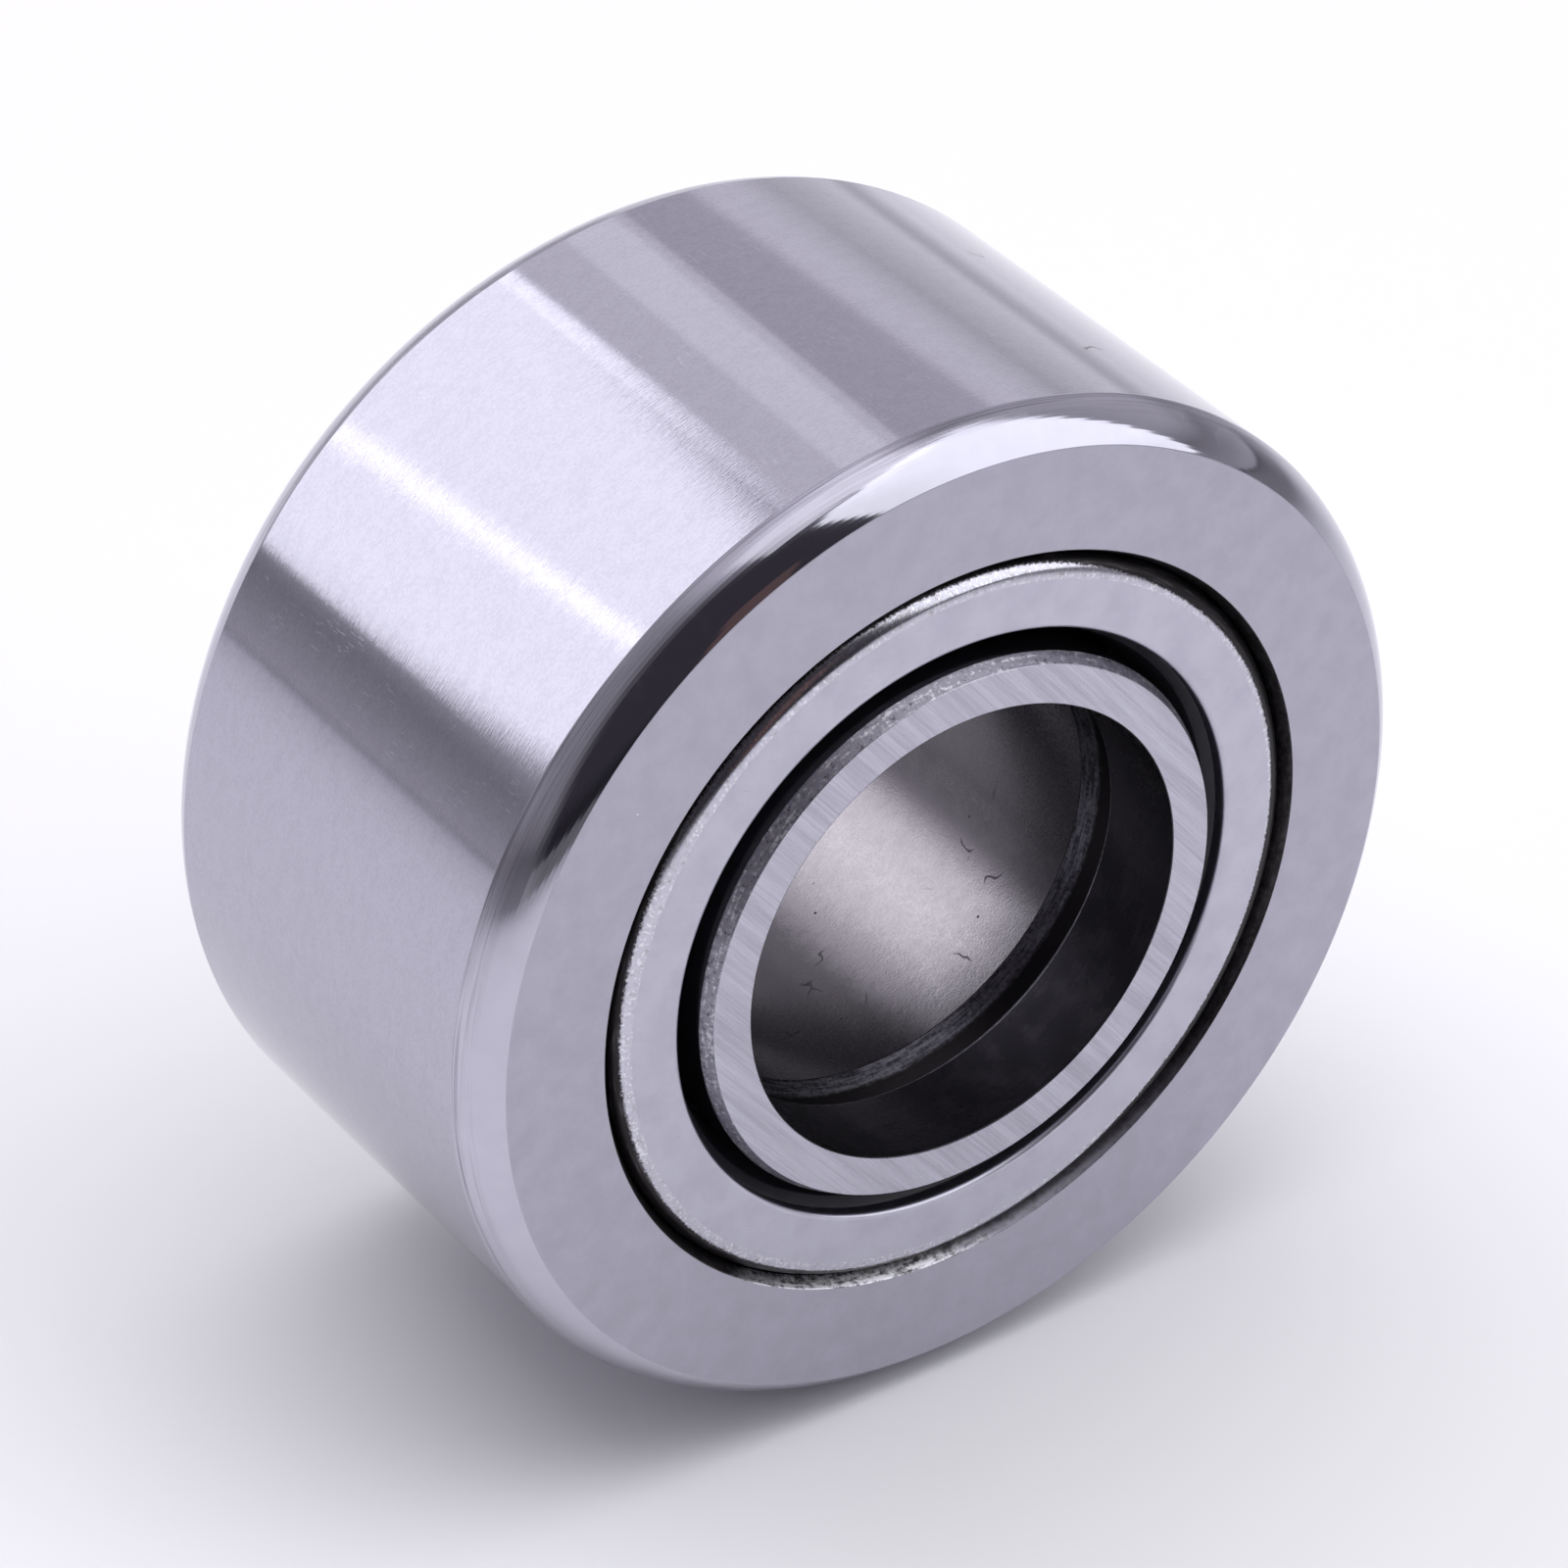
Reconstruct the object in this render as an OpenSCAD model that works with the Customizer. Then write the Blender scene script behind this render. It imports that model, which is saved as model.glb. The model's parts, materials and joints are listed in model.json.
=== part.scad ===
// Yoke-type cam follower (track roller). A thick outer ring rolls on caged needle rollers
// around an inner ring, which is clamped between two loose side collars on a through pin.
// A steel-cased rubber seal closes each end. All sizes are in millimetres.
// Frame: origin at the centre of the bearing, roller axis along Y, front end at -Y, +Z up.

/* [Outer ring] */
// Diameter of the rolling surface (tread)
tread_d = 44; // [43:0.5:60]
// Width of the outer ring
outer_w = 23; // [22:0.5:30]
// How far the rounded corner drops from the tread towards the axis
corner_drop = 1.3; // [0.6:0.1:2]
// How far the rounded corner reaches along the tread
corner_len = 1.8; // [0.8:0.1:2.4]
// Radius of the rounded corner, larger than a tangent blend so that it meets the face at an edge
corner_r = 3.2; // [2:0.1:8]

/* [Inner ring and collars] */
// Diameter of the through bore
bore_d = 20; // [15:0.5:20]
// Outside diameter of the inner ring and collars: the inner raceway and the seals' running surface
race_d = 24; // [24:0.5:25]
// Width of each loose side collar
collar_w = 4.5; // [4:0.1:4.8]
// How far each collar stands proud of the outer ring
collar_proud = 0.5; // [0.2:0.1:1.5]

/* [Needle rollers] */
// Nominal diameter of a roller
roller_d = 4; // [3.6:0.1:4.2]
// Radial gap that a roller has to each raceway
race_gap = 0.02; // [0.01:0.01:0.05]

/* [Seals] */
// Depth of each seal behind the face of the outer ring
seal_w = 3.9; // [3.6:0.1:4.2]
// Thickness of the seal case's sheet steel
sheet_t = 0.65; // [0.5:0.05:0.7]
// Outside radius of the seal case's rolled edge
roll_r = 0.9; // [0.8:0.05:1.2]
// Gap between the seal case's inner edge and the collar
case_gap = 0.95; // [0.8:0.05:1.1]

/* [Hidden] */
ROLLER_COUNT = 16;
function roller_name(i) = str("roller_", i < 9 ? "0" : "", i + 1);

tread_r = tread_d / 2;
outer_h = outer_w / 2;
bore_r = bore_d / 2;
race_r = race_d / 2;
outer_race_r = race_r + roller_d;
pitch_r = race_r + roller_d / 2;

// Chamfer at each end of the outer ring's bore, where the seal is pressed in
mouth_drop = 0.3;
mouth_len = 0.6;

// Inner ring and collars meet at joint_h; the inner ring has a long lead-in chamfer for the pin
collar_h = outer_h + collar_proud;
joint_h = collar_h - collar_w;
lead_drop = 0.8;
lead_len = 1.5;
inner_edge = 0.3;
collar_edge_drop = 0.3;
collar_edge_len = 0.6;
collar_back_chamfer = 0.45;

// Cage and rollers fill the space between the two seals
cage_gap = 0.6;
cage_h = outer_h - seal_w - 0.3;
rail_w = 1;
pocket_gap = 0.09;
pocket_end_gap = 0.1;
pocket_len = 2 * (cage_h - rail_w);
roller_len = pocket_len - 2 * pocket_end_gap;
roller_r = roller_d / 2 - race_gap;
roller_edge = 0.25;

// Seal case: a flat flange, a rolled outer edge and a wall pressed into the outer ring
case_bore_r = race_r + case_gap;
case_wall_r = outer_race_r - sheet_t;
roll_centre = [outer_race_r - roll_r, outer_h - roll_r];

// Seal lip: rubber behind the flange, ending in a lip that runs on the collar
lip_run_r = race_r + 0.05;
lip_back_h = outer_h - 3.4;
lip_body_t = 0.9;

steel_ground = [0.72, 0.72, 0.75];
steel_dark = [0.52, 0.52, 0.55];
steel_sheet = [0.76, 0.76, 0.79];
steel_roller = [0.80, 0.80, 0.82];
rubber_black = [0.06, 0.06, 0.07];
nylon_dark = [0.13, 0.13, 0.12];

// Turns a profile about the Y axis: its x is the radius and its y is the height towards the front
module turned() {
    rotate([90, 0, 0]) rotate_extrude($fn = 128) children();
}

// Repeats a front profile or solid at the rear end
module at_rear() {
    mirror([0, 1, 0]) children();
}

module at_roller(i) {
    rotate([0, -i * 360 / ROLLER_COUNT, 0]) translate([pitch_r, 0, 0]) children();
}

// What lies outside the arc that rounds the front corner of the tread
module corner_waste() {
    face_point = [tread_r - corner_drop, outer_h];
    tread_point = [tread_r, outer_h - corner_len];
    chord = norm(face_point - tread_point);
    inward = [-corner_len, -corner_drop] / chord;
    rise = sqrt(corner_r * corner_r - chord * chord / 4);
    arc_centre = (face_point + tread_point) / 2 + rise * inward;
    difference() {
        translate([face_point.x, tread_point.y]) square([corner_drop + 1, corner_len + 1]);
        translate(arc_centre) circle(r = corner_r, $fn = 128);
    }
}

module outer_ring_profile() {
    land_h = outer_h - mouth_len;
    mouth_r = outer_race_r + mouth_drop;
    difference() {
        polygon([
            [outer_race_r, -land_h], [mouth_r, -outer_h], [tread_r, -outer_h],
            [tread_r, outer_h], [mouth_r, outer_h], [outer_race_r, land_h]
        ]);
        corner_waste();
        mirror([0, 1]) corner_waste();
    }
}

module outer_ring() {
    color(steel_ground) turned() outer_ring_profile();
}

module inner_ring() {
    lead_h = joint_h - lead_len;
    lead_r = bore_r + lead_drop;
    edge_h = joint_h - inner_edge;
    edge_r = race_r - inner_edge;
    color(steel_ground) turned() polygon([
        [bore_r, -lead_h], [lead_r, -joint_h], [edge_r, -joint_h], [race_r, -edge_h],
        [race_r, edge_h], [edge_r, joint_h], [lead_r, joint_h], [bore_r, lead_h]
    ]);
}

module front_collar() {
    back_r = bore_r + collar_back_chamfer;
    color(steel_dark) turned() polygon([
        [bore_r, joint_h + collar_back_chamfer], [back_r, joint_h],
        [race_r - inner_edge, joint_h], [race_r, joint_h + inner_edge],
        [race_r, collar_h - collar_edge_len], [race_r - collar_edge_drop, collar_h],
        [bore_r, collar_h]
    ]);
}

module rear_collar() {
    at_rear() front_collar();
}

module seal_case_profile() {
    flange_w = roll_centre.x - case_bore_r;
    translate([case_bore_r, outer_h - sheet_t]) square([flange_w, sheet_t]);
    intersection() {
        translate(roll_centre) difference() {
            circle(r = roll_r, $fn = 64);
            circle(r = roll_r - sheet_t, $fn = 64);
        }
        translate(roll_centre) square(roll_r);
    }
    translate([case_wall_r, outer_h - seal_w]) square([sheet_t, seal_w - roll_r]);
}

module front_seal_case() {
    color(steel_sheet) turned() seal_case_profile();
}

module rear_seal_case() {
    at_rear() front_seal_case();
}

module front_seal_lip() {
    flange_h = outer_h - sheet_t;
    body_h = flange_h - lip_body_t;
    outside_r = roll_centre.x;
    color(rubber_black) turned() polygon([
        [outside_r, flange_h], [case_bore_r, flange_h], [case_bore_r - 0.35, flange_h - 0.35],
        [lip_run_r + 0.3, body_h - 0.4], [lip_run_r, lip_back_h + 0.35], [lip_run_r + 0.2, lip_back_h],
        [lip_run_r + 0.75, body_h - 0.7], [case_bore_r + 0.2, body_h], [outside_r, body_h]
    ]);
}

module rear_seal_lip() {
    at_rear() front_seal_lip();
}

module roller_cage() {
    color(nylon_dark) difference() {
        turned() translate([race_r + cage_gap, -cage_h])
            square([roller_d - 2 * cage_gap, 2 * cage_h]);
        for (i = [0 : ROLLER_COUNT - 1])
            at_roller(i) rotate([90, 0, 0])
                cylinder(r = roller_r + pocket_gap, h = pocket_len, center = true, $fn = 64);
    }
}

module roller(i) {
    half = roller_len / 2;
    color(steel_roller) at_roller(i) turned() polygon([
        [0, -half], [roller_r - roller_edge, -half], [roller_r, roller_edge - half],
        [roller_r, half - roller_edge], [roller_r - roller_edge, half], [0, half]
    ]);
}

outer_ring();
inner_ring();
front_collar();
rear_collar();
front_seal_case();
rear_seal_case();
front_seal_lip();
rear_seal_lip();
roller_cage();
for (i = [0 : ROLLER_COUNT - 1])
    roller(i);
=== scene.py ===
"""Looks of the cam follower: fine turned meshes, ground-steel materials and a small studio.

Everything is in metres in the CAD model's own frame: roller axis along Y, front end at -Y, +Z up.
Profiles are written in millimetres as (radius, height from the centre plane towards an end).
"""

import json
import math

import bmesh
import bpy
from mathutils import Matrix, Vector


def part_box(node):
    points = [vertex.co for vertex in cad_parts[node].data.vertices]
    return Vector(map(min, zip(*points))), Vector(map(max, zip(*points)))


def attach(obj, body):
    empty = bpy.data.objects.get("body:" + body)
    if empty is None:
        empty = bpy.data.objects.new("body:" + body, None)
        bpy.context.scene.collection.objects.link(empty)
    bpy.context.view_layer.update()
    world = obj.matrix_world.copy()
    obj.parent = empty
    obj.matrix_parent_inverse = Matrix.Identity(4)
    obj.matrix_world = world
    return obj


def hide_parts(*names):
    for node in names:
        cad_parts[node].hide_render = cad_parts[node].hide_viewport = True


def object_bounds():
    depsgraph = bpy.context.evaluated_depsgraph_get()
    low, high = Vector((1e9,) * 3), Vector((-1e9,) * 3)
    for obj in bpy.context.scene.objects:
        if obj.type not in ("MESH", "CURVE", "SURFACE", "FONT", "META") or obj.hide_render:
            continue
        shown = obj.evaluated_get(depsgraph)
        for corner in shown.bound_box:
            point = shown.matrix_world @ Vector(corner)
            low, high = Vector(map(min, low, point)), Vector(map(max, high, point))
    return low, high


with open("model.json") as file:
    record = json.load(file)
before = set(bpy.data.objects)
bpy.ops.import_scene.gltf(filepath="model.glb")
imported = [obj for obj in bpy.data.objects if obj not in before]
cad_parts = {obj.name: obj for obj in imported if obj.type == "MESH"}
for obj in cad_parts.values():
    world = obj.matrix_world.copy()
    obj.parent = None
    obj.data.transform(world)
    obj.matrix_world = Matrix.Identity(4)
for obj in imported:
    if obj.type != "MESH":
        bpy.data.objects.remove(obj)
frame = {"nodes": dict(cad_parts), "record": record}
CAD_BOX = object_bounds()

MM = 0.001


# ---------------------------------------------------------------- sizes, read from the frame

def radius_of(node):
    """Outside radius of a turned node, in millimetres."""
    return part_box(node)[1].x / MM


def front_of(node):
    """How far a node's front end lies from the centre, in millimetres."""
    return -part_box(node)[0].y / MM


def bore_radius():
    """Radius of the bore mount, in millimetres."""
    bore = next(m for m in frame["record"]["mounts"] if m["name"] == "bore")
    return bore["dims"]["r_mm"]


TREAD_R = radius_of("outer_ring")
FACE_H = front_of("outer_ring")
RACE_R = radius_of("inner_ring")
MOUTH_R = radius_of("front_seal_case")
BORE_R = bore_radius()
COLLAR_H = front_of("front_collar")
JOINT_H = front_of("inner_ring")
ROLLER_H = front_of("roller_01")
ROLLER_NODES = sorted(n for n in frame["nodes"] if n.startswith("roller_") and n != "roller_cage")
ROLLER_R = (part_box("roller_01")[1].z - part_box("roller_01")[0].z) / MM / 2

# Corner of the tread: how far it drops in radius, how far it runs along the axis, and its arc
CORNER_DROP = 1.3
CORNER_LEN = 1.8
CORNER_R = 3.2
# Seal case: sheet thickness, radius of its rolled edge, and its gap to the collar
SHEET = 0.65
ROLL_R = 0.9
CASE_GAP = 0.95
# Rounding of a sharp edge
EDGE_BREAK = 0.06


# ---------------------------------------------------------------- turned meshes

class Corner:
    """One corner of a profile: its radius, height and rounding in mm, and the zone (material index)
    of the stretch that leaves it."""

    def __init__(self, r, h, rounding=EDGE_BREAK, zone=0, steps=5):
        self.at = Vector((r, h))
        self.rounding = rounding
        self.zone = zone
        self.steps = steps


def arc_corners(start, end, radius, steps, zone):
    """Corners along an arc that bulges to the right of the way from start to end."""
    start, end = Vector(start), Vector(end)
    chord = end - start
    outward = Vector((chord.y, -chord.x)).normalized()
    centre = (start + end) / 2 - outward * math.sqrt(radius**2 - chord.length_squared / 4)
    first = math.atan2(start.y - centre.y, start.x - centre.x)
    last = math.atan2(end.y - centre.y, end.x - centre.x)
    corners = []
    for i in range(1, steps):
        a = first + (last - first) * i / steps
        corners.append(Corner(centre.x + radius * math.cos(a), centre.y + radius * math.sin(a), 0, zone))
    return corners


def rounded_corner(before, corner, after):
    """Points of the arc that rounds one corner."""
    to_before = (before - corner.at).normalized()
    to_after = (after - corner.at).normalized()
    half = to_before.angle(to_after) / 2
    reach = corner.rounding / math.tan(half)
    centre = corner.at + (to_before + to_after).normalized() * (corner.rounding / math.sin(half))
    start = corner.at + to_before * reach - centre
    sweep = math.pi - 2 * half
    turn = 1 if to_before.x * to_after.y - to_before.y * to_after.x < 0 else -1
    points = []
    for i in range(corner.steps + 1):
        a = turn * sweep * i / corner.steps
        c, s = math.cos(a), math.sin(a)
        points.append(centre + Vector((c * start.x - s * start.y, s * start.x + c * start.y)))
    return points


def outline(corners, closed=True):
    """Profile points and the zone of the stretch after each. Long stretches get a support point close
    to each end, so that they shade flat."""
    support = 0.03
    long_stretch = 4 * support
    points, zones = [], []
    count = len(corners)
    for i, corner in enumerate(corners):
        ends = not closed and i in (0, count - 1)
        if corner.rounding == 0 or ends:
            arc = [corner.at]
        else:
            arc = rounded_corner(corners[i - 1].at, corner, corners[(i + 1) % count].at)
        for point in arc:
            points.append(point)
            zones.append(corner.zone)
    fine_points, fine_zones = [], []
    last = len(points) if closed else len(points) - 1
    for i in range(len(points)):
        here = points[i]
        fine_points.append(here)
        fine_zones.append(zones[i])
        if i >= last:
            continue
        step = points[(i + 1) % len(points)] - here
        if step.length > long_stretch:
            inset = step.normalized() * support
            fine_points += [here + inset, here + step - inset]
            fine_zones += [zones[i], zones[i]]
    return fine_points, fine_zones


MERGE = 1e-8


def turned_piece(name, corners, materials, segments=256, closed=True, rear=False, centre=(0, 0)):
    """A mesh of revolution about an axis along Y through centre (x, z), in millimetres. Points that
    meet on the axis are merged."""
    points, zones = outline(corners, closed)
    side = 1 if rear else -1
    verts, faces, slots = [], [], []
    for s in range(segments):
        a = 2 * math.pi * s / segments
        for p in points:
            x = centre[0] + p.x * math.cos(a)
            z = centre[1] + p.x * math.sin(a)
            verts.append((x * MM, side * p.y * MM, z * MM))
    rows = len(points)
    stretches = rows if closed else rows - 1
    for s in range(segments):
        here, there = s * rows, (s + 1) % segments * rows
        for i in range(stretches):
            j = (i + 1) % rows
            faces.append((here + i, there + i, there + j, here + j))
            slots.append(zones[i])
    mesh = bpy.data.meshes.new(name)
    mesh.from_pydata(verts, [], faces)
    mesh.polygons.foreach_set("material_index", slots)
    mesh.polygons.foreach_set("use_smooth", [True] * len(faces))
    bm = bmesh.new()
    bm.from_mesh(mesh)
    bmesh.ops.remove_doubles(bm, verts=bm.verts, dist=MERGE)
    bmesh.ops.recalc_face_normals(bm, faces=bm.faces)
    bm.to_mesh(mesh)
    bm.free()
    for material in materials:
        mesh.materials.append(material)
    piece = bpy.data.objects.new(name, mesh)
    bpy.context.scene.collection.objects.link(piece)
    return piece


# ---------------------------------------------------------------- shader helpers

# How far one seed moves a pattern along each axis, in metres
SEED_SHIFT = (0.01, 0.013, 0.017)


class Graph:
    """A small wrapper that builds one material's node tree in plain words."""

    def __init__(self, name):
        self.material = bpy.data.materials.new(name)
        self.material.use_nodes = True
        self.tree = self.material.node_tree
        self.shader = self.tree.nodes["Principled BSDF"]
        coords = self.tree.nodes.new("ShaderNodeTexCoord")
        self.place = coords.outputs["Object"]

    def node(self, kind, inputs=(), **settings):
        made = self.tree.nodes.new(kind)
        for key, value in settings.items():
            setattr(made, key, value)
        for key, value in dict(inputs).items():
            self.feed(made.inputs[key], value)
        return made

    def feed(self, socket, value):
        if isinstance(value, bpy.types.NodeSocket):
            self.tree.links.new(value, socket)
        else:
            socket.default_value = value

    def math(self, operation, a, b=0.0, clamp=False):
        return self.node("ShaderNodeMath", {0: a, 1: b}, operation=operation, use_clamp=clamp).outputs[0]

    def blend(self, a, b, share):
        """a where share is 0 and b where it is 1, for plain numbers."""
        made = self.node("ShaderNodeMix", data_type="FLOAT")
        self.feed(made.inputs[0], share)
        self.feed(made.inputs[2], a)
        self.feed(made.inputs[3], b)
        return made.outputs[0]

    def tint(self, a, b, share):
        """The same for colours."""
        made = self.node("ShaderNodeMix", data_type="RGBA")
        self.feed(made.inputs[0], share)
        self.feed(made.inputs[6], a)
        self.feed(made.inputs[7], b)
        return made.outputs[2]

    def step(self, value, low, high):
        """0 below low, 1 above high, smooth between."""
        made = self.node("ShaderNodeMapRange", {0: value, 1: low, 2: high, 3: 0.0, 4: 1.0})
        made.interpolation_type = "SMOOTHSTEP"
        return made.outputs[0]

    def turned_place(self):
        """(radius, x, z), for marks that run round the axis on an end face."""
        parts = self.node("ShaderNodeSeparateXYZ", {0: self.place})
        made = self.node(
            "ShaderNodeCombineXYZ", {0: self.radius(), 1: parts.outputs[0], 2: parts.outputs[2]}
        )
        return made.outputs[0]

    def radius(self):
        """Distance from the axis, in metres."""
        flat = self.node("ShaderNodeVectorMath", {0: self.place, 1: (1, 0, 1)}, operation="MULTIPLY")
        return self.node("ShaderNodeVectorMath", {0: flat.outputs[0]}, operation="LENGTH").outputs["Value"]

    def height(self):
        """Distance from the centre plane, in metres."""
        return self.math("ABSOLUTE", self.node("ShaderNodeSeparateXYZ", {0: self.place}).outputs[1])

    def side(self, angle):
        """How far out from the axis towards an angle up from +X, in metres."""
        a = math.radians(angle)
        toward = (math.cos(a), 0.0, math.sin(a))
        made = self.node("ShaderNodeVectorMath", {0: self.place, 1: toward}, operation="DOT_PRODUCT")
        return made.outputs["Value"]

    def ragged(self, value, low, high, wander, size):
        """A step between two lengths in mm whose edge wanders, in waves of the given size in mm."""
        noise = self.grain((size, size, size), detail=3.0, roughness=0.6, seed=8)
        shift = self.math("MULTIPLY", self.math("SUBTRACT", noise, 0.5), wander * MM)
        return self.step(self.math("ADD", value, shift), low * MM, high * MM)

    def mapped(self, place, size, seed, turn=0.0):
        """A place measured in cells of size (three lengths in mm), shifted by the seed."""
        made = self.node("ShaderNodeMapping", {"Vector": place}, vector_type="TEXTURE")
        made.inputs["Location"].default_value = tuple(seed * shift for shift in SEED_SHIFT)
        made.inputs["Rotation"].default_value = (0.0, math.radians(turn), 0.0)
        made.inputs["Scale"].default_value = tuple(s * MM for s in size)
        return made.outputs[0]

    def grain(self, size, place=None, turn=0.0, detail=3.0, roughness=0.55, seed=0.0):
        """Noise from 0 to 1 whose cells measure size (three lengths in mm), turned about Y."""
        mapped = self.mapped(self.place if place is None else place, size, seed, turn)
        noise = self.node(
            "ShaderNodeTexNoise",
            {"Vector": mapped, "Scale": 1.0, "Detail": detail, "Roughness": roughness},
        )
        return noise.outputs[0]

    def specks(self, cell, dot, share, seed=0.0):
        """1 inside small sparse dots: cell is their spacing and dot their radius, in mm."""
        mapped = self.mapped(self.place, (cell, cell, cell), seed)
        cells = self.node("ShaderNodeTexVoronoi", {"Vector": mapped, "Scale": 1.0})
        near = self.step(cells.outputs["Distance"], 1.3 * dot / cell, 0.7 * dot / cell)
        parts = self.node("ShaderNodeSeparateColor", {0: cells.outputs["Color"]})
        chosen = self.math("LESS_THAN", parts.outputs[0], share)
        return self.math("MULTIPLY", near, chosen)

    def hairs(self, cell, reach, share, seed=0.0):
        """1 on short thin curly marks: the line where a noise crosses its middle, inside sparse spots."""
        spots = self.specks(cell, reach, share, seed)
        wave = reach * 3.5
        wander = self.grain((wave, wave, wave), detail=2.0, roughness=0.35, seed=seed + 2)
        off_line = self.math("ABSOLUTE", self.math("SUBTRACT", wander, 0.5))
        return self.math("MULTIPLY", spots, self.step(off_line, 0.016, 0.007))

    def scratches(self, turn, across, along, amount, seed):
        """1 on sparse straight scratches, across by along in mm, that run at an angle about Y."""
        lines = self.grain((along, along, across), turn=turn, detail=1.0, seed=seed)
        patches = self.grain((2.5, 2.5, 2.5), detail=1.0, seed=seed + 5)
        threshold = 0.74 - 0.06 * amount
        fine = self.step(lines, threshold, threshold + 0.06)
        return self.math("MULTIPLY", fine, self.step(patches, 0.48, 0.62))

    def bump(self, height, depth):
        """Tilts the surface by a height of 0 to 1 that stands for depth, in mm."""
        made = self.node("ShaderNodeBump", {"Strength": 1.0, "Distance": depth * MM, "Height": height})
        self.feed(self.shader.inputs["Normal"], made.outputs[0])

    def finish(self, colour, roughness, metallic=1.0):
        """Feeds the shader and gives the finished material."""
        self.feed(self.shader.inputs["Base Color"], colour)
        self.feed(self.shader.inputs["Roughness"], roughness)
        self.shader.inputs["Metallic"].default_value = metallic
        return self.material


# Linear colours of the clean metals, of dirt and of worn spots, and of the painted shade in the groove,
# the bores and the joint at the bore
STEEL = (0.470, 0.462, 0.540, 1.0)
STEEL_SOFT = (0.425, 0.417, 0.490, 1.0)
STEEL_DULL = (0.410, 0.400, 0.465, 1.0)
STEEL_WORN = (0.300, 0.292, 0.340, 1.0)
STEEL_BRIGHT = (0.540, 0.535, 0.610, 1.0)
STEEL_BROWN = (0.36, 0.31, 0.30, 1.0)
# Grime on the collar chamfers, and painted shade in the groove and at the bore joint
GRIME_AND_SHADE = (0.030, 0.027, 0.030, 1.0)
SPECK = (0.045, 0.040, 0.045, 1.0)
GLINT = (0.80, 0.80, 0.84, 1.0)
# Painted shade: the steel in the groove between the outer ring and the seal case
SHADED_GROOVE_STEEL = (0.100, 0.092, 0.100, 1.0)
# Painted shade inside the collar bores, darker and lighter; the darker one also gives dark grains on the
# far bore's lead-in
BORE_SHADE_AND_DARK_GRAIN = (0.062, 0.059, 0.071, 1.0)
BORE_SHADE_LIGHTER = (0.105, 0.100, 0.116, 1.0)
BORE_STEEL = (0.430, 0.408, 0.440, 1.0)
BORE_DULL = (0.240, 0.228, 0.248, 1.0)
# Painted shade on the far bore, everywhere but its lower right side
FAR_BORE_SHADE = (0.120, 0.112, 0.124, 1.0)


# ---------------------------------------------------------------- materials

def ground_tread():
    """Tread: fine circumferential grinding over a satin ground, with a few nicks and specks."""
    g = Graph("ground_tread")
    lines = g.grain((9.0, 0.045, 9.0), detail=2.0)
    frost = g.grain((0.40, 0.07, 0.40), detail=2.0, seed=1)
    cloud = g.grain((0.9, 0.5, 0.9), detail=5.0, roughness=0.65, seed=2)
    nicks = g.scratches(40, 0.03, 0.9, 1.0, 3)
    dots = g.specks(3.5, 0.07, 0.14, 4)
    glints = g.specks(1.9, 0.045, 0.18, 6)
    hairs = g.hairs(8.0, 0.75, 0.16, 9)
    rough = g.blend(0.05, 0.09, g.blend(frost, cloud, 0.5))
    rough = g.math("ADD", rough, g.math("MULTIPLY", nicks, 0.03))
    sand = g.grain((0.16, 0.09, 0.16), detail=2.0, seed=12)
    colour = g.tint(STEEL, STEEL_SOFT, g.step(g.blend(cloud, sand, 0.6), 0.40, 0.62))
    colour = g.tint(colour, STEEL_BRIGHT, g.math("MULTIPLY", nicks, 0.6))
    colour = g.tint(colour, GLINT, glints)
    colour = g.tint(colour, SPECK, g.math("MAXIMUM", dots, hairs))
    height = g.blend(lines, frost, 0.6)
    g.bump(g.math("SUBTRACT", height, g.math("MULTIPLY", nicks, 0.3)), 0.0020)
    return g.finish(colour, rough)


def polished_corner():
    """Corner of the tread: mirror polished near the face, with turning lines left near the tread."""
    g = Graph("polished_corner")
    lines = g.grain((7.0, 0.06, 7.0), detail=3.0, roughness=0.65)
    broad = g.grain((9.0, 0.24, 9.0), detail=2.0, seed=2)
    cloud = g.grain((1.2, 1.2, 1.2), detail=4.0, seed=6)
    turned_end, mirror_start = FACE_H - 1.55, FACE_H - 0.75
    polish = g.step(g.height(), turned_end * MM, mirror_start * MM)
    streaks = g.blend(lines, broad, 0.45)
    colour = g.tint(STEEL_BRIGHT, STEEL, cloud)
    colour = g.tint(g.tint(colour, STEEL_WORN, g.step(streaks, 0.46, 0.62)), colour, polish)
    region = g.step(g.grain((6.0, 6.0, 6.0), seed=14), 0.50, 0.66)
    worn = g.math("MULTIPLY", g.step(cloud, 0.50, 0.72), region)
    colour = g.tint(colour, GLINT, g.math("MULTIPLY", worn, 0.30))
    rough = g.blend(g.blend(0.10, 0.24, streaks), g.blend(0.05, 0.10, cloud), polish)
    rough = g.math("ADD", rough, g.math("MULTIPLY", worn, 0.10))
    g.bump(g.math("MULTIPLY", streaks, g.blend(1.0, 0.06, polish)), 0.0100)
    return g.finish(colour, rough)


def ground_face():
    """End face of the outer ring: even satin with faint crossing grinding marks."""
    g = Graph("ground_face")
    first = g.grain((3.5, 3.5, 0.05), turn=28, detail=2.0)
    second = g.grain((2.5, 2.5, 0.06), turn=-62, detail=2.0, seed=1)
    cloud = g.grain((1.2, 1.2, 1.2), detail=5.0, roughness=0.65, seed=2)
    nicks = g.scratches(-20, 0.035, 1.2, 0.8, 3)
    dots = g.specks(3.2, 0.07, 0.10, 4)
    glints = g.specks(1.7, 0.04, 0.15, 6)
    colour = g.tint(STEEL_DULL, STEEL, g.step(cloud, 0.20, 0.85))
    colour = g.tint(colour, STEEL_BRIGHT, g.math("MULTIPLY", nicks, 0.7))
    colour = g.tint(colour, GLINT, glints)
    colour = g.tint(colour, SPECK, dots)
    rough = g.blend(0.31, 0.37, cloud)
    g.bump(g.blend(first, second, 0.5), 0.0018)
    return g.finish(colour, rough)


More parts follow.
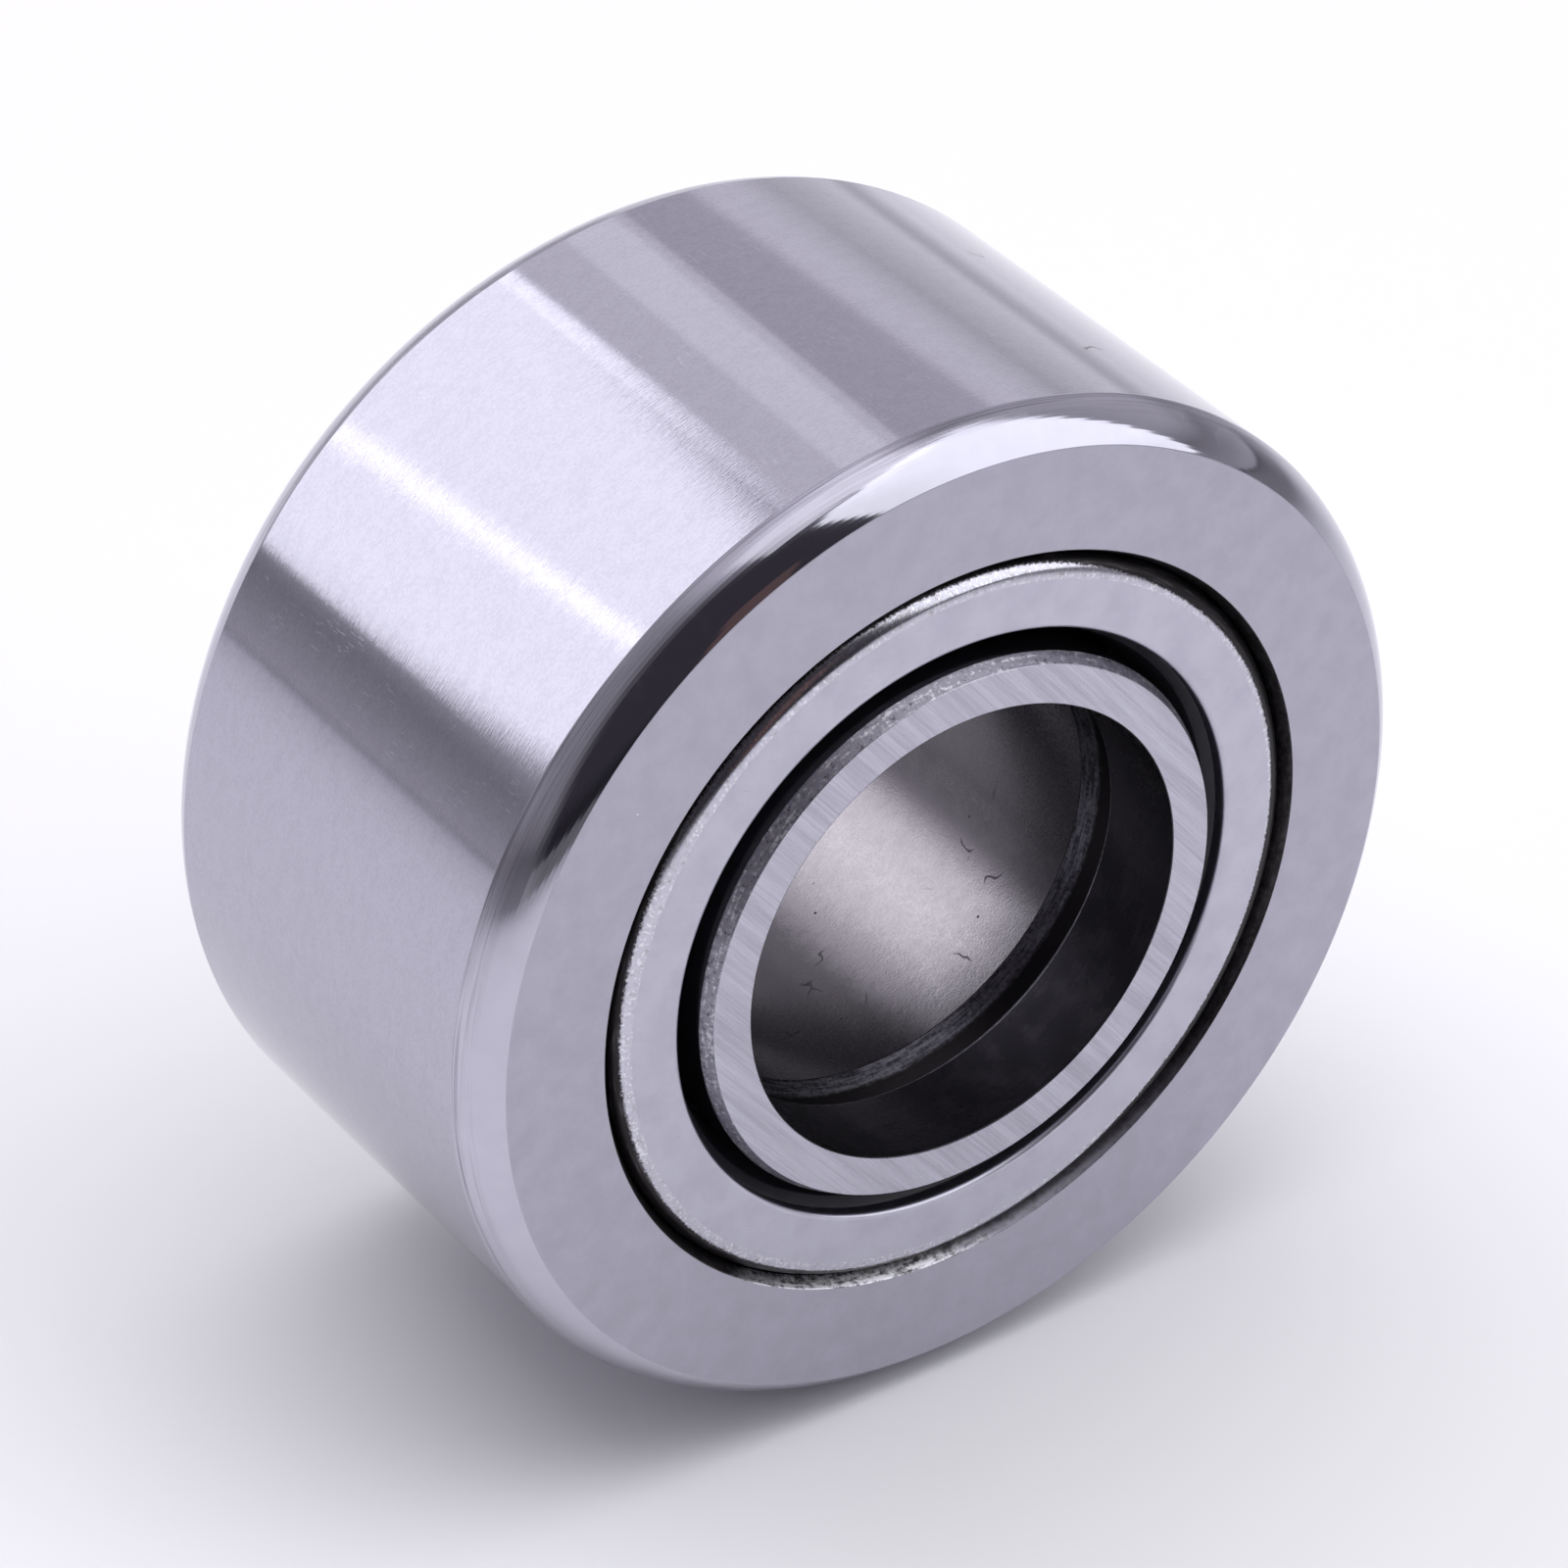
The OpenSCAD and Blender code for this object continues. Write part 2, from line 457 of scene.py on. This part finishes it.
def groove_mouth():
    """Mouth chamfer of the outer ring: painted shade from the groove, darkest above and lighter grey
    towards the bottom, with a stretch of torn grains.
    """
    g = Graph("groove_mouth")
    coarse = g.grain((0.28, 0.28, 0.28), detail=5.0, roughness=0.7)
    streak = g.grain((0.08, 1.1, 1.1), place=g.turned_place(), detail=2.0, seed=3)
    both = g.blend(coarse, streak, 0.4)
    # Painted shade lifts to a lighter grey towards the bottom
    lighter_below = g.step(g.side(-85), 11.0 * MM, 15.5 * MM)
    torn = g.ragged(g.side(-108), 14.7, 15.9, 1.6, 1.1)
    # Painted shade of the groove, mottled dark
    groove_shade = g.tint(GRIME_AND_SHADE, SHADED_GROOVE_STEEL, g.step(both, 0.35, 0.75))
    grey = g.tint(SHADED_GROOVE_STEEL, STEEL_WORN, g.step(both, 0.20, 0.60))
    grains = g.tint(SHADED_GROOVE_STEEL, GLINT, g.step(both, 0.38, 0.56))
    g.bump(g.math("MULTIPLY", both, g.blend(0.25, 1.0, torn)), 0.012)
    return g.finish(g.tint(g.tint(groove_shade, grey, lighter_below), grains, torn), g.blend(0.30, 0.50, coarse))


def collar_chamfer():
    """Machined chamfer of a collar: coarse, speckled, with bright torn grains and hairs."""
    g = Graph("collar_chamfer")
    coarse = g.grain((0.22, 0.22, 0.22), detail=4.0, roughness=0.7)
    streak = g.grain((0.07, 1.2, 1.2), place=g.turned_place(), detail=2.0, seed=3)
    sparks = g.step(g.blend(coarse, streak, 0.4), 0.50, 0.64)
    colour = g.tint(STEEL_WORN, GLINT, g.math("MULTIPLY", sparks, 0.8))
    colour = g.tint(colour, GRIME_AND_SHADE, g.math("MULTIPLY", g.step(coarse, 0.45, 0.30), 0.8))
    colour = g.tint(colour, SPECK, g.hairs(3.0, 0.5, 0.35, 7))
    rough = g.blend(0.28, 0.50, streak)
    g.bump(g.blend(coarse, streak, 0.4), 0.012)
    return g.finish(colour, rough)


def lead_in():
    """Lead-in chamfer of the far bore: painted shade at its wide end, where it meets the collar, speckled
    grey at its lip.
    """
    g = Graph("lead_in")
    coarse = g.grain((0.16, 0.16, 0.16), detail=4.0, roughness=0.7)
    streak = g.grain((0.05, 1.4, 1.4), place=g.turned_place(), detail=2.0, seed=3)
    lip = g.ragged(g.radius(), BORE_R + 0.42, BORE_R + 0.30, 0.12, 0.4)
    grey = g.tint(BORE_SHADE_AND_DARK_GRAIN, STEEL_WORN, g.step(g.blend(coarse, streak, 0.5), 0.36, 0.64))
    # Painted shade at the wide end, in the joint with the collar
    colour = g.tint(GRIME_AND_SHADE, grey, lip)
    g.bump(g.blend(coarse, streak, 0.5), 0.010)
    return g.finish(colour, g.blend(0.25, 0.45, coarse))


def sheet_face():
    """Seal case: satin rolled sheet with soft mottling, a few scratches and specks."""
    g = Graph("sheet_face")
    cloud = g.grain((1.6, 1.6, 1.6), detail=5.0, roughness=0.6)
    fine = g.grain((0.12, 0.12, 0.12), detail=2.0, seed=1)
    nicks = g.scratches(15, 0.03, 0.8, 0.9, 2)
    dots = g.specks(2.6, 0.06, 0.12, 3)
    hairs = g.hairs(3.6, 0.5, 0.28, 7)
    colour = g.tint(STEEL_BRIGHT, STEEL, g.step(cloud, 0.30, 0.80))
    colour = g.tint(colour, STEEL_DULL, nicks)
    colour = g.tint(colour, SPECK, g.math("MAXIMUM", dots, g.math("MULTIPLY", hairs, 0.7)))
    rough = g.blend(0.26, 0.36, cloud)
    g.bump(g.blend(cloud, fine, 0.35), 0.003)
    return g.finish(colour, rough)


def rolled_edge():
    """Rolled edge of the seal case: burnished, with painted shade on its outer part in the groove,
    reaching further in on the right and at the bottom and less far at the top.
    """
    g = Graph("rolled_edge")
    wave = g.grain((0.30, 0.30, 0.30), detail=4.0, roughness=0.65)
    line = g.grain((0.08, 1.6, 1.6), place=g.turned_place(), detail=2.0, seed=2)
    parts = g.node("ShaderNodeSeparateXYZ", {0: g.place})
    # Painted groove shade: its edge moves inwards on the right and at the bottom, and outwards at the top
    deeper = g.math("MULTIPLY", g.step(parts.outputs[0], 3.0 * MM, 11.0 * MM), 0.34 * MM)
    lower = g.math("MULTIPLY", g.step(parts.outputs[2], 7.0 * MM, -4.0 * MM), 0.16 * MM)
    upper = g.math("MULTIPLY", g.step(g.side(110), 10.0 * MM, 15.0 * MM), 0.11 * MM)
    reach = g.math("ADD", g.radius(), g.math("SUBTRACT", g.math("ADD", deeper, lower), upper))
    sparks = g.step(g.grain((0.14, 0.14, 0.14), detail=3.0, seed=9), 0.52, 0.66)
    bright = g.tint(STEEL_BRIGHT, STEEL_BROWN, g.step(wave, 0.50, 0.80))
    bright = g.tint(bright, GLINT, g.math("MULTIPLY", sparks, 0.8))
    dark = g.tint(GRIME_AND_SHADE, SHADED_GROOVE_STEEL, g.step(line, 0.5, 0.8))
    # Painted shade in the groove outside the roll
    groove_shade = g.ragged(reach, MOUTH_R - 0.40, MOUTH_R - 0.28, 0.26, 0.11)
    rough = g.blend(g.blend(0.10, 0.20, wave), 0.40, groove_shade)
    g.bump(g.blend(wave, line, 0.4), 0.0045)
    return g.finish(g.tint(bright, dark, groove_shade), rough)


def ground_collar():
    """End face of a collar: straight parallel surface-grinding marks."""
    g = Graph("ground_collar")
    marks = g.grain((6.0, 6.0, 0.09), turn=51, detail=3.0, roughness=0.7)
    broad = g.grain((9.0, 9.0, 0.45), turn=51, detail=2.0, seed=2)
    dots = g.specks(2.2, 0.05, 0.08, 4)
    colour = g.tint(STEEL_DULL, STEEL_BRIGHT, g.step(g.blend(marks, broad, 0.5), 0.35, 0.65))
    colour = g.tint(colour, SPECK, dots)
    rough = g.blend(0.22, 0.34, marks)
    g.bump(marks, 0.004)
    return g.finish(colour, rough)


def honed_bore():
    """Far bore: brushed along the axis, with painted shade all round but on its lower right side, which
    keeps its bright steel, and with hairs.
    """
    g = Graph("honed_bore")
    brush = g.grain((0.9, 0.10, 0.10), turn=35, detail=3.0)
    cloud = g.grain((0.7, 0.7, 0.7), detail=5.0, roughness=0.7, seed=3)
    dots = g.specks(0.9, 0.065, 0.20, 5)
    hairs = g.hairs(1.9, 0.50, 0.5, 11)
    both = g.blend(brush, cloud, 0.5)
    # Painted shade: the wall is dark except towards the lower right
    clear_of_shade = g.step(g.math("ADD", g.side(-52), g.math("MULTIPLY", both, 1.2 * MM)), 9.2 * MM, 10.2 * MM)
    colour = g.tint(FAR_BORE_SHADE, g.tint(BORE_STEEL, BORE_DULL, both), clear_of_shade)
    colour = g.tint(colour, SPECK, g.math("MAXIMUM", dots, g.math("MULTIPLY", hairs, 0.8)))
    rough = g.math("ADD", g.blend(0.12, 0.26, both), g.blend(0.08, 0.0, clear_of_shade))
    g.bump(both, 0.006)
    return g.finish(colour, rough)


def painted_shade_bore():
    """Bore of a collar: painted shade, a dark colour that stands for the shade inside the bore, lighter in
    random places.
    """
    g = Graph("painted_shade_bore")
    cloud = g.grain((1.4, 1.4, 1.4), detail=4.0, seed=3)
    turned = g.grain((6.0, 0.07, 6.0), detail=2.0, seed=1)
    # Painted bore shade, mottled lighter by the noise
    colour = g.tint(BORE_SHADE_AND_DARK_GRAIN, BORE_SHADE_LIGHTER, g.step(g.blend(cloud, turned, 0.35), 0.45, 0.75))
    g.bump(g.blend(turned, cloud, 0.5), 0.003)
    return g.finish(colour, g.blend(0.20, 0.34, cloud))


def polished_race():
    """Raceways and running surfaces: ground and polished round the axis."""
    g = Graph("raceway")
    lines = g.grain((2.0, 0.06, 2.0), detail=2.0)
    g.bump(lines, 0.001)
    return g.finish(g.tint(STEEL, STEEL_BRIGHT, lines), g.blend(0.10, 0.18, lines))


def polished_roller():
    """Needle roller: mirror bright, with the faintest grinding lines."""
    g = Graph("polished_roller")
    lines = g.grain((1.5, 0.08, 1.5), detail=2.0)
    colour = g.tint(STEEL, STEEL_BRIGHT, lines)
    g.bump(lines, 0.0008)
    return g.finish(colour, g.blend(0.08, 0.14, lines))


def seal_rubber():
    """Oily black rubber."""
    g = Graph("seal_rubber")
    cloud = g.grain((0.8, 0.8, 0.8), detail=3.0)
    fine = g.grain((0.08, 0.08, 0.08), detail=2.0, seed=1)
    colour = g.tint((0.010, 0.010, 0.012, 1.0), (0.030, 0.030, 0.036, 1.0), cloud)
    g.bump(g.blend(cloud, fine, 0.4), 0.01)
    return g.finish(colour, g.blend(0.30, 0.50, cloud), metallic=0.0)


def moulded_nylon():
    """Cage: black moulded nylon with a fine grain."""
    g = Graph("moulded_nylon")
    fine = g.grain((0.15, 0.15, 0.15), detail=3.0)
    colour = g.tint((0.030, 0.029, 0.027, 1.0), (0.055, 0.053, 0.050, 1.0), fine)
    g.bump(fine, 0.008)
    return g.finish(colour, g.blend(0.40, 0.58, fine), metallic=0.0)


# ---------------------------------------------------------------- pieces

def make_outer_ring():
    """Outer ring: its front half as corners from tread to raceway, then the same mirrored."""
    tread, corner, face, mouth, raceway = range(5)
    materials = [ground_tread(), polished_corner(), ground_face(), groove_mouth(), polished_race()]
    mouth_drop, mouth_len = 0.3, 0.6
    rim_r = TREAD_R - CORNER_DROP
    shoulder_h = FACE_H - CORNER_LEN
    front = [
        Corner(TREAD_R, shoulder_h, 0.0, corner),
        *arc_corners((TREAD_R, shoulder_h), (rim_r, FACE_H), CORNER_R, 14, corner),
        Corner(rim_r, FACE_H, 0.08, face),
        Corner(MOUTH_R + mouth_drop, FACE_H, 0.05, mouth),
        Corner(MOUTH_R, FACE_H - mouth_len, 0.05, raceway),
    ]
    rear = [Corner(c.at.x, -c.at.y, c.rounding, corner) for c in reversed(front)]
    rear[0].zone = mouth
    rear[1].zone = face
    rear[-1].zone = tread
    return turned_piece("outer_ring_turned", front + rear, materials, segments=320)


def make_inner_ring(materials):
    """Inner ring: raceway outside, bore with a lead-in chamfer at each end."""
    bore, race, chamfer = range(3)
    lead_drop, lead_len, edge = 0.8, 1.5, 0.3
    front = [
        Corner(RACE_R, JOINT_H - edge, 0.08, chamfer),
        Corner(RACE_R - edge, JOINT_H, 0.05, chamfer),
        Corner(BORE_R + lead_drop, JOINT_H, 0.05, chamfer),
        Corner(BORE_R, JOINT_H - lead_len, 0.08, bore),
    ]
    rear = [Corner(c.at.x, -c.at.y, c.rounding, chamfer) for c in reversed(front)]
    rear[-1].zone = race
    return turned_piece("inner_ring_turned", front + rear, materials)


def make_collar(name, rear, materials):
    """Side collar: chamfered outside at its face and inside where it meets the inner ring."""
    bore, chamfer, face, outside = range(4)
    edge_drop, edge_len, back_edge, back_chamfer = 0.3, 0.6, 0.3, 0.45
    corners = [
        Corner(BORE_R, COLLAR_H, 0.05, bore),
        Corner(BORE_R, JOINT_H + back_chamfer, 0.04, chamfer),
        Corner(BORE_R + back_chamfer, JOINT_H, 0.04, bore),
        Corner(RACE_R - back_edge, JOINT_H, 0.05, chamfer),
        Corner(RACE_R, JOINT_H + back_edge, 0.05, outside),
        Corner(RACE_R, COLLAR_H - edge_len, 0.08, chamfer),
        Corner(RACE_R - edge_drop, COLLAR_H, 0.05, face),
    ]
    return turned_piece(name, corners, materials, rear=rear)


def make_seal_case(name, rear, materials):
    """Seal case: a flat ring of sheet, rolled over into a wall that fits the outer ring's bore."""
    flat, roll = range(2)
    wall_end = FACE_H - 3.9
    inner_r = RACE_R + CASE_GAP
    corners = [
        Corner(inner_r, FACE_H - SHEET, 0.08, flat),
        Corner(inner_r, FACE_H, 0.22, flat),
        Corner(MOUTH_R, FACE_H, ROLL_R, roll, steps=16),
        Corner(MOUTH_R, wall_end, 0.1, roll),
        Corner(MOUTH_R - SHEET, wall_end, 0.1, roll),
        Corner(MOUTH_R - SHEET, FACE_H - SHEET, ROLL_R - SHEET, flat),
    ]
    return turned_piece(name, corners, materials, rear=rear)


def make_seal_lip(name, rear, material):
    """Rubber lip: bonded behind the case's sheet, and bent back to run on the collar."""
    inner_r = RACE_R + CASE_GAP
    run_r = RACE_R + 0.05
    flange_h = FACE_H - SHEET
    body_h = flange_h - 0.9
    back_h = FACE_H - 3.4
    outside_r = MOUTH_R - 0.9
    corners = [
        Corner(outside_r, flange_h, 0.03),
        Corner(inner_r, flange_h, 0.03),
        Corner(inner_r - 0.35, flange_h - 0.35, 0.12),
        Corner(run_r + 0.3, body_h - 0.4, 0.1),
        Corner(run_r, back_h + 0.35, 0.08),
        Corner(run_r + 0.2, back_h, 0.08),
        Corner(run_r + 0.75, body_h - 0.7, 0.1),
        Corner(inner_r + 0.2, body_h, 0.1),
        Corner(outside_r, body_h, 0.1),
    ]
    return turned_piece(name, corners, [material], rear=rear)


def make_roller(node, material):
    """Needle roller with rounded ends, where its CAD node lies."""
    low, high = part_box(node)
    centre = ((low.x + high.x) / 2 / MM, (low.z + high.z) / 2 / MM)
    corners = [
        Corner(0.0, ROLLER_H, 0.0),
        Corner(ROLLER_R, ROLLER_H, 0.3, steps=8),
        Corner(ROLLER_R, -ROLLER_H, 0.3, steps=8),
        Corner(0.0, -ROLLER_H, 0.0),
    ]
    return turned_piece(node + "_turned", corners, [material], segments=72, closed=False, centre=centre)


def place(piece, node, slot):
    """Lets a fine mesh stand for its CAD node."""
    body = next(b for b, nodes in frame["record"]["behaviour"]["bodies"].items() if node in nodes)
    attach(piece, body)
    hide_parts(node)


def make_pieces():
    """All the fine pieces, and the cage's own material."""
    race = polished_race()
    collar = [painted_shade_bore(), collar_chamfer(), ground_collar(), race]
    sheet = [sheet_face(), rolled_edge()]
    rubber = seal_rubber()
    roller = polished_roller()
    place(make_outer_ring(), "outer_ring", "ring_steel")
    place(make_inner_ring([honed_bore(), race, lead_in()]), "inner_ring", "inner_steel")
    for end in ("front", "rear"):
        rear = end == "rear"
        place(make_collar(end + "_collar_turned", rear, collar), end + "_collar", "collar_steel")
        place(make_seal_case(end + "_seal_case_turned", rear, sheet), end + "_seal_case", "case_steel")
        place(make_seal_lip(end + "_seal_lip_turned", rear, rubber), end + "_seal_lip", "lip_rubber")
    for node in ROLLER_NODES:
        place(make_roller(node, roller), node, "roller_steel")
    cage = frame["nodes"]["roller_cage"]
    cage.data.materials.clear()
    cage.data.materials.append(moulded_nylon())


# ---------------------------------------------------------------- studio

CAMERA_AZIMUTH = 34.664
CAMERA_ELEVATION = 35.245
CAMERA_DISTANCE = 0.27548
CAMERA_LENS = 159.5
CAMERA_AIM = Vector((-0.00012, 0.00013, 0.00006))
CAMERA_SENSOR = 36.0
STUDIO_REACH = 1.2
DARK_SIDE = (-163, 26)
PALE_SKY = (0.94, 0.94, 0.95, 1.0)


def direction(azimuth, elevation):
    """Unit vector towards an azimuth (0 is +Y, 90 is +X) and elevation, in degrees."""
    a, e = math.radians(azimuth), math.radians(elevation)
    return Vector((math.sin(a) * math.cos(e), math.cos(a) * math.cos(e), math.sin(e)))


def aim(thing, target):
    """Turns a camera or light to face a point."""
    thing.rotation_euler = (target - thing.location).to_track_quat("-Z", "Y").to_euler()


def make_camera():
    """Camera in front, to the left and above, looking at the middle of the roller."""
    data = bpy.data.cameras.new("camera")
    data.lens = CAMERA_LENS
    data.sensor_width = CAMERA_SENSOR
    data.clip_start = 0.01
    data.clip_end = 20.0
    camera = bpy.data.objects.new("camera", data)
    bpy.context.scene.collection.objects.link(camera)
    camera.location = CAMERA_AIM - CAMERA_DISTANCE * direction(CAMERA_AZIMUTH, -CAMERA_ELEVATION)
    aim(camera, CAMERA_AIM)
    bpy.context.scene.camera = camera


def softbox(
    name, azimuth, elevation, width, height, radiance,
    colour=(1.0, 1.0, 1.0), glossy=True, reach=STUDIO_REACH, roll=0.0,
):
    """A rectangular light whose angular size is width by height, in degrees, and reach metres away.
    Its power gives it the same radiance at any size and distance."""
    data = bpy.data.lights.new(name, "AREA")
    data.shape = "RECTANGLE"
    data.size = 2 * reach * math.tan(math.radians(width / 2))
    data.size_y = 2 * reach * math.tan(math.radians(height / 2))
    data.energy = radiance * math.pi * data.size * data.size_y
    data.color = colour
    lamp = bpy.data.objects.new(name, data)
    bpy.context.scene.collection.objects.link(lamp)
    lamp.location = reach * direction(azimuth, elevation)
    lamp.visible_camera = False
    lamp.visible_glossy = glossy
    aim(lamp, Vector((0, 0, 0)))
    lamp.rotation_euler.rotate_axis("Z", math.radians(roll))


def make_lights():
    """Softboxes and cards all round: each one is a light band or a grey in the polished steel."""
    softbox("left_softbox", -22, 31.5, 44, 35, 1.18, (0.98, 0.98, 1.0))
    softbox("left_tube", -32.5, 33, 0.55, 34, 2.4, (1.0, 0.99, 0.94))
    softbox("back_wash", 18, 42, 20, 15, 0.30)
    softbox("back_strip", 24, 42, 7, 16, 0.18)
    softbox("back_card", 42, 4, 34, 42, 0.26)
    softbox("low_card", 20, 4, 78, 26, 0.14, reach=0.22)
    softbox("right_softbox", 132, 37.5, 49, 60, 1.40, (0.97, 0.98, 1.0), roll=-3)
    softbox("top_softbox", 152, 80, 38, 24, 0.66)
    softbox("front_card", -143, 0, 46, 13, 0.16)
    softbox("warm_card", -176, 20, 13, 30, 0.10, (1.0, 0.52, 0.38))
    softbox("overhead_fill", 0, 89, 60, 60, 1.40, glossy=False, reach=0.45)


def ramp(tree, value, stops):
    """Greys, or colours, that follow a value from 0 to 1."""
    made = tree.nodes.new("ShaderNodeValToRGB")
    tree.links.new(value, made.inputs[0])
    elements = made.color_ramp.elements
    elements[0].position, elements[1].position = stops[0][0], stops[-1][0]
    elements[0].color, elements[1].color = stops[0][1], stops[-1][1]
    for position, colour in stops[1:-1]:
        elements.new(position).color = colour
    return made.outputs[0]


def room_grey(level):
    """A faintly purple grey."""
    return (level, level * 0.98, level * 1.03, 1.0)


def make_world():
    """Dim room: dark on one side, mid grey opposite, with a darker band above the horizon and a
    brighter ceiling. The camera itself sees a plain pale sky."""
    world = bpy.data.worlds.new("studio")
    bpy.context.scene.world = world
    world.use_nodes = True
    tree = world.node_tree
    background = tree.nodes["Background"]
    coords = tree.nodes.new("ShaderNodeTexCoord")
    parts = tree.nodes.new("ShaderNodeSeparateXYZ")
    tree.links.new(coords.outputs["Generated"], parts.inputs[0])
    toward_dark = tree.nodes.new("ShaderNodeVectorMath")
    toward_dark.operation = "DOT_PRODUCT"
    tree.links.new(coords.outputs["Generated"], toward_dark.inputs[0])
    toward_dark.inputs[1].default_value = direction(*DARK_SIDE)
    to_share = tree.nodes.new("ShaderNodeMapRange")
    tree.links.new(toward_dark.outputs["Value"], to_share.inputs[0])
    to_share.inputs[1].default_value = -1.0
    around = [
        (0.22, room_grey(0.66)),
        (0.45, room_grey(0.55)),
        (0.63, room_grey(0.40)),
        (0.83, room_grey(0.32)),
        (0.90, (0.050, 0.046, 0.054, 1.0)),
    ]
    walls = ramp(tree, to_share.outputs[0], around)
    bands = [
        (0.0, room_grey(0.80)),
        (0.09, room_grey(0.62)),
        (0.17, room_grey(0.48)),
        (0.25, room_grey(0.80)),
        (0.32, room_grey(1.0)),
        (0.86, room_grey(1.0)),
        (0.95, room_grey(2.0)),
    ]
    heights = ramp(tree, parts.outputs[2], bands)
    room = tree.nodes.new("ShaderNodeMix")
    room.data_type = "RGBA"
    room.blend_type = "MULTIPLY"
    room.inputs[0].default_value = 1.0
    tree.links.new(walls, room.inputs[6])
    tree.links.new(heights, room.inputs[7])
    seen = tree.nodes.new("ShaderNodeLightPath")
    pale = tree.nodes.new("ShaderNodeMix")
    pale.data_type = "RGBA"
    tree.links.new(seen.outputs["Is Camera Ray"], pale.inputs[0])
    tree.links.new(room.outputs[2], pale.inputs[6])
    pale.inputs[7].default_value = PALE_SKY
    tree.links.new(pale.outputs[2], background.inputs[0])


def make_floor():
    """Plain pale floor that the tread stands on, darker to the right where the steel mirrors it."""
    size = 3.0
    height = CAD_BOX[0][2]
    near, far = 0.02, 0.30
    slant = 0.3
    shallow, full = 0.4, 1.0
    narrow, wide = 0.75, 1.0
    paper, shade = (0.86, 0.86, 0.88, 1.0), (0.20, 0.20, 0.21, 1.0)
    mesh = bpy.data.meshes.new("floor")
    corners = [(-size, -size, height), (size, -size, height), (size, size, height), (-size, size, height)]
    mesh.from_pydata(corners, [], [(0, 1, 2, 3)])
    floor = bpy.data.objects.new("floor", mesh)
    bpy.context.scene.collection.objects.link(floor)
    g = Graph("floor_paper")
    glossy = g.node("ShaderNodeLightPath").outputs["Is Glossy Ray"]
    parts = g.node("ShaderNodeSeparateXYZ", {0: g.place}).outputs
    right = g.math("SUBTRACT", parts[0], g.math("MULTIPLY", parts[1], slant))
    away = g.node("ShaderNodeVectorMath", {0: g.place}, operation="LENGTH").outputs["Value"]
    depth = g.blend(shallow, full, g.step(g.math("DIVIDE", right, away), narrow, wide))
    shaded = g.math("MULTIPLY", g.math("MULTIPLY", g.step(right, near, far), depth), glossy)
    g.finish(g.tint(paper, shade, shaded), 0.9, metallic=0.0)
    mesh.materials.append(g.material)


make_camera()
make_pieces()
make_lights()
make_world()
make_floor()
bpy.context.scene.view_settings.view_transform = "Standard"
